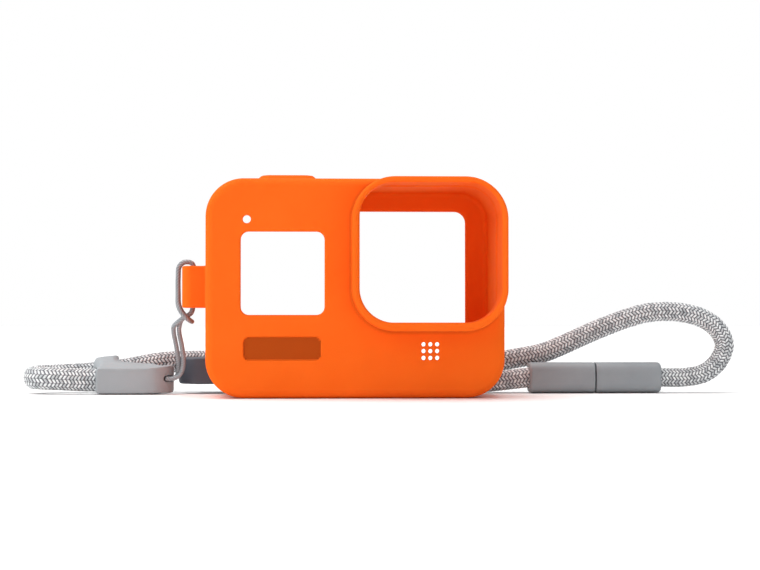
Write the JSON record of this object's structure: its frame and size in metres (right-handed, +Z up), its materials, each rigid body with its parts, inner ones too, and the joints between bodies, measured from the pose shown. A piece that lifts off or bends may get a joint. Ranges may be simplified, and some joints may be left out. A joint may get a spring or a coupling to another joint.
{
  "type": "camera sleeve with lanyard",
  "caption": "Soft silicone sleeve for a compact action camera, with lens rim, windows and press pads, tethered to an adjustable braided wrist lanyard with a pull-apart connector.",
  "frame": {"origin": "under the middle of the sleeve's own box (tab, pads and lens rim included), on the surface it stands on", "axes": "+X to the right when the lens opening faces the viewer, -Y towards the viewer, +Z up"},
  "size_m": [0.1787, 0.0535, 0.0529],
  "materials": {
    "silicone": "satin matte moulded silicone",
    "slider_grey": "soft satin moulded elastomer",
    "slider_dark": "soft satin moulded elastomer",
    "connector_grey": "fine matte moulded plastic",
    "braid": "tight round braid of light grey yarn over a darker core",
    "thin_cord": "smooth fine tether cord",
    "steel": "brushed",
    "seal": "black elastomer"
  },
  "bodies": {
    "sleeve": {"silicone_sleeve": "silicone", "tether_cord": "thin_cord", "main_cord": "braid", "lower_cord": "braid", "socket_shell": "connector_grey", "socket_liner": "steel", "socket_crimp": "steel"},
    "shutter_pad": {"shutter_button_pad": "silicone"},
    "mode_pad": {"mode_button_pad": "silicone"},
    "tether_slider": {"tether_slider_body": "slider_grey", "tether_slider_crimp": "steel", "tether_clip": "steel", "hairpin_cord": "braid"},
    "keeper_slider": {"keeper_slider_body": "slider_dark", "keeper_slider_crimp": "steel"},
    "plug": {"plug_shell": "connector_grey", "plug_pin": "steel", "plug_detent_ring": "seal", "plug_crimp": "steel"}
  },
  "joints": [
    {"name": "shutter_press", "type": "slide", "parent": "sleeve", "child": "shutter_pad", "axis": [0, 0, -1], "range_m": [0, 0.0008], "stiffness_N_per_m": 400},
    {"name": "mode_press", "type": "slide", "parent": "sleeve", "child": "mode_pad", "axis": [-1, 0, 0], "range_m": [0, 0.0006], "stiffness_N_per_m": 400},
    {"name": "tether_slider_slide", "type": "slide", "parent": "sleeve", "child": "tether_slider", "axis": [-1, 0, 0], "range_m": [0, 0.005], "deforming": ["hairpin_cord", "tether_cord"]},
    {"name": "keeper_slider_slide", "type": "slide", "parent": "sleeve", "child": "keeper_slider", "axis": [1, 0, 0], "range_m": [0, 0.008], "deforming": ["lower_cord"]},
    {"name": "plug_release", "type": "slide", "parent": "sleeve", "child": "plug", "axis": [1, 0, 0], "range_m": [0, 0.008], "deforming": ["main_cord"]}
  ]
}
